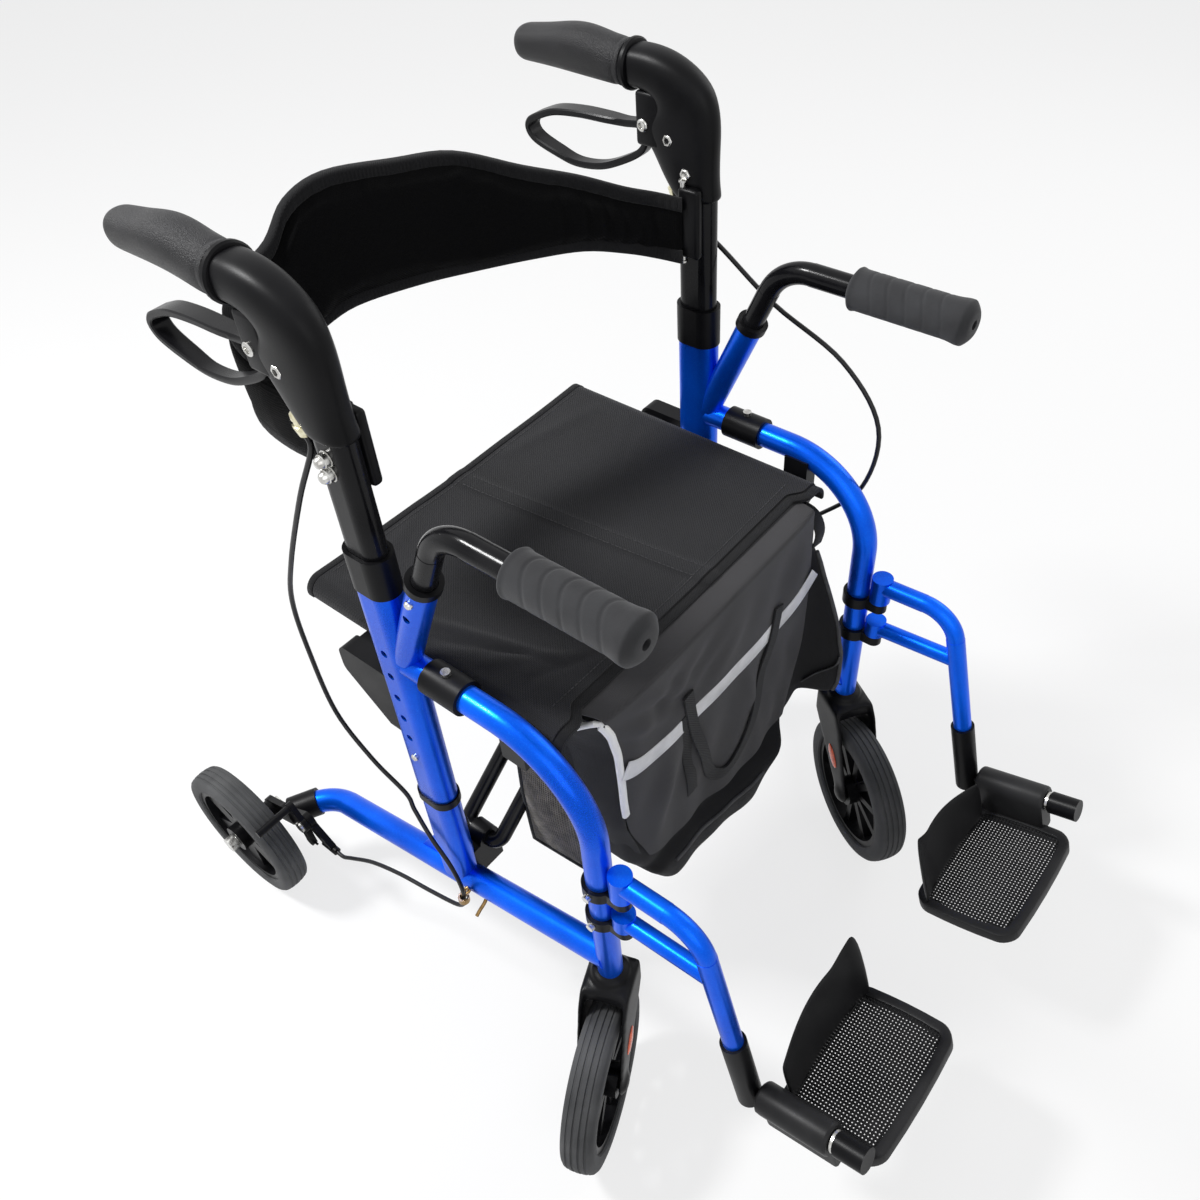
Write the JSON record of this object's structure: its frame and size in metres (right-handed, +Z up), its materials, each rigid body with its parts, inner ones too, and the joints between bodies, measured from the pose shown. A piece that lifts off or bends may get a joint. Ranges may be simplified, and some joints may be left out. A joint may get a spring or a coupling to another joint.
{
  "type": "rollator transport chair",
  "caption": "Folding rollator transport chair with braked push handles, sling seat, bag, strap backrest, lift-out armrests, swivel casters and swing-away flip-up footrests.",
  "frame": {"origin": "on the floor, under the middle of the outline", "axes": "+Z up, +Y to the rear, +X to the sitter's left"},
  "size_m": [0.7305, 0.9343, 0.927],
  "materials": {
    "frame_paint": "gloss",
    "black_tube": "gloss",
    "black_plastic": "satin",
    "steel": "satin",
    "tyre": "matte",
    "grip_rubber": "matte",
    "cable_cover": "satin",
    "seat_cloth": "matte",
    "bag_cloth": "matte"
  },
  "bodies": {
    "right_side": {"right_post": "frame_paint", "right_lower_rail": "frame_paint", "right_front_arch": "frame_paint", "right_arm_socket": "frame_paint", "right_side_plastics": "black_plastic", "right_rear_bracket": "black_plastic", "right_hanger_clamps": "black_plastic", "right_brake_cable": "cable_cover", "right_side_hardware": "steel"},
    "right_post_lock": {"right_post_button": "steel"},
    "right_arm_lock": {"right_arm_button": "steel"},
    "right_rear_wheel": {"right_rear_tyre": "tyre", "right_rear_rim": "black_plastic"},
    "right_caster": {"right_caster_fork": "black_plastic"},
    "right_front_wheel": {"right_front_tyre": "tyre", "right_front_rim": "black_plastic"},
    "right_handle": {"right_handle_tube": "black_tube", "right_handle_shell": "black_plastic", "right_handle_hardware": "steel", "right_grip": "grip_rubber", "backrest": "seat_cloth"},
    "right_lever": {"right_brake_lever": "black_plastic"},
    "right_brake": {"right_brake_arm": "steel"},
    "right_armrest": {"right_arm_tube": "black_tube", "right_arm_grip": "grip_rubber"},
    "right_footrest": {"right_hanger": "frame_paint", "right_foot_pivot": "black_plastic"},
    "right_plate": {"right_footplate": "black_plastic"},
    "left_side": {"left_post": "frame_paint", "left_lower_rail": "frame_paint", "left_front_arch": "frame_paint", "left_arm_socket": "frame_paint", "left_side_plastics": "black_plastic", "left_rear_bracket": "black_plastic", "left_hanger_clamps": "black_plastic", "left_brake_cable": "cable_cover", "left_side_hardware": "steel"},
    "left_post_lock": {"left_post_button": "steel"},
    "left_arm_lock": {"left_arm_button": "steel"},
    "left_rear_wheel": {"left_rear_tyre": "tyre", "left_rear_rim": "black_plastic"},
    "left_caster": {"left_caster_fork": "black_plastic"},
    "left_front_wheel": {"left_front_tyre": "tyre", "left_front_rim": "black_plastic"},
    "left_handle": {"left_handle_tube": "black_tube", "left_handle_shell": "black_plastic", "left_handle_hardware": "steel", "left_grip": "grip_rubber"},
    "left_lever": {"left_brake_lever": "black_plastic"},
    "left_brake": {"left_brake_arm": "steel"},
    "left_armrest": {"left_arm_tube": "black_tube", "left_arm_grip": "grip_rubber"},
    "left_footrest": {"left_hanger": "frame_paint", "left_foot_pivot": "black_plastic"},
    "left_plate": {"left_footplate": "black_plastic"},
    "brace_a": {"brace_a": "black_tube"},
    "brace_b": {"brace_b": "black_tube"},
    "seat": {"seat_fabric": "seat_cloth", "bag": "bag_cloth"}
  },
  "joints": [
    {"name": "fold", "type": "hinge", "parent": "right_side", "child": "brace_a", "pos_m": [-0.187, 0.047, 0.232], "axis": [0, -1, 0], "range_deg": [0, 36], "deforming": ["seat_fabric", "bag", "backrest"]},
    {"name": "brace_cross", "type": "hinge", "parent": "brace_a", "child": "brace_b", "pos_m": [0.009, 0.057, 0.3785], "axis": [0, -1, 0], "range_deg": [-72, 0]},
    {"name": "left_fold", "type": "hinge", "parent": "brace_b", "child": "left_side", "pos_m": [0.205, 0.067, 0.232], "axis": [0, -1, 0], "range_deg": [0, 36]},
    {"name": "seat_lift", "type": "hinge", "parent": "brace_b", "child": "seat", "pos_m": [-0.187, 0.056, 0.525], "axis": [0, -1, 0], "range_deg": [0, 36]},
    {"name": "right_raise", "type": "slide", "parent": "right_side", "child": "right_handle", "axis": [0, 0, 1], "range_m": [0, 0.15], "deforming": ["right_brake_cable", "left_brake_cable"]},
    {"name": "right_squeeze", "type": "hinge", "parent": "right_handle", "child": "right_lever", "pos_m": [-0.22, 0.109, 0.858], "axis": [1, 0, 0], "range_deg": [0, 12], "stiffness_Nm_per_rad": 2, "springref_deg": -5.73},
    {"name": "right_brake_turn", "type": "hinge", "parent": "right_side", "child": "right_brake", "pos_m": [-0.28, 0.284, 0.143], "axis": [-1, 0, 0], "range_deg": [0, 6]},
    {"name": "right_rear_spin", "type": "hinge", "parent": "right_side", "child": "right_rear_wheel", "pos_m": [-0.315, 0.372, 0.095], "axis": [1, 0, 0], "continuous": true},
    {"name": "right_swivel", "type": "hinge", "parent": "right_side", "child": "right_caster", "pos_m": [-0.22, -0.164, 0.24], "axis": [0, 0, 1], "continuous": true},
    {"name": "right_front_spin", "type": "hinge", "parent": "right_caster", "child": "right_front_wheel", "pos_m": [-0.27523, -0.18744, 0.095], "axis": [0.3907, -0.9205, 0], "continuous": true},
    {"name": "right_arm_lift", "type": "slide", "parent": "right_side", "child": "right_armrest", "axis": [0, -0.3987, 0.9171], "range_m": [0, 0.045]},
    {"name": "right_post_press", "type": "slide", "parent": "right_side", "child": "right_post_lock", "axis": [1, 0, 0], "range_m": [0, 0.004], "stiffness_N_per_m": 400, "springref_m": -0.002},
    {"name": "right_arm_press", "type": "slide", "parent": "right_side", "child": "right_arm_lock", "axis": [1, 0, 0], "range_m": [0, 0.004], "stiffness_N_per_m": 400, "springref_m": -0.002},
    {"name": "right_swing", "type": "hinge", "parent": "right_side", "child": "right_footrest", "pos_m": [-0.22, -0.19, 0.385], "axis": [0, 0, -1], "range_deg": [0, 90]},
    {"name": "right_flip", "type": "hinge", "parent": "right_footrest", "child": "right_plate", "pos_m": [-0.22, -0.374, 0.196], "axis": [0, -0.9613, 0.2756], "range_deg": [0, 90]},
    {"name": "left_raise", "type": "slide", "parent": "left_side", "child": "left_handle", "axis": [0, 0, 1], "range_m": [0, 0.15], "deforming": ["right_brake_cable", "left_brake_cable"]},
    {"name": "left_squeeze", "type": "hinge", "parent": "left_handle", "child": "left_lever", "pos_m": [0.238, 0.109, 0.858], "axis": [1, 0, 0], "range_deg": [0, 12], "stiffness_Nm_per_rad": 2, "springref_deg": -5.73},
    {"name": "left_brake_turn", "type": "hinge", "parent": "left_side", "child": "left_brake", "pos_m": [0.298, 0.284, 0.143], "axis": [-1, 0, 0], "range_deg": [0, 6]},
    {"name": "left_rear_spin", "type": "hinge", "parent": "left_side", "child": "left_rear_wheel", "pos_m": [0.333, 0.372, 0.095], "axis": [1, 0, 0], "continuous": true},
    {"name": "left_swivel", "type": "hinge", "parent": "left_side", "child": "left_caster", "pos_m": [0.238, -0.164, 0.24], "axis": [0, 0, 1], "continuous": true},
    {"name": "left_front_spin", "type": "hinge", "parent": "left_caster", "child": "left_front_wheel", "pos_m": [0.2062, -0.21488, 0.095], "axis": [0.848, -0.5299, 0], "continuous": true},
    {"name": "left_arm_lift", "type": "slide", "parent": "left_side", "child": "left_armrest", "axis": [0, -0.3987, 0.9171], "range_m": [0, 0.045]},
    {"name": "left_post_press", "type": "slide", "parent": "left_side", "child": "left_post_lock", "axis": [-1, 0, 0], "range_m": [0, 0.004], "stiffness_N_per_m": 400, "springref_m": -0.002},
    {"name": "left_arm_press", "type": "slide", "parent": "left_side", "child": "left_arm_lock", "axis": [-1, 0, 0], "range_m": [0, 0.004], "stiffness_N_per_m": 400, "springref_m": -0.002},
    {"name": "left_swing", "type": "hinge", "parent": "left_side", "child": "left_footrest", "pos_m": [0.238, -0.19, 0.385], "axis": [0, 0, 1], "range_deg": [0, 90]},
    {"name": "left_flip", "type": "hinge", "parent": "left_footrest", "child": "left_plate", "pos_m": [0.238, -0.374, 0.196], "axis": [0, 0.9613, -0.2756], "range_deg": [0, 90]}
  ],
  "couplings": [
    {"joint": "brace_cross", "follows": "fold", "ratio": -2},
    {"joint": "left_fold", "follows": "fold", "ratio": 1},
    {"joint": "seat_lift", "follows": "fold", "ratio": 1},
    {"joint": "right_brake_turn", "follows": "right_squeeze", "ratio": 0.5},
    {"joint": "right_swing", "follows": "fold", "ratio": 2.5},
    {"joint": "left_brake_turn", "follows": "left_squeeze", "ratio": 0.5},
    {"joint": "left_swing", "follows": "fold", "ratio": 2.5},
    {"joint": "left_raise", "follows": "right_raise", "ratio": 1}
  ]
}
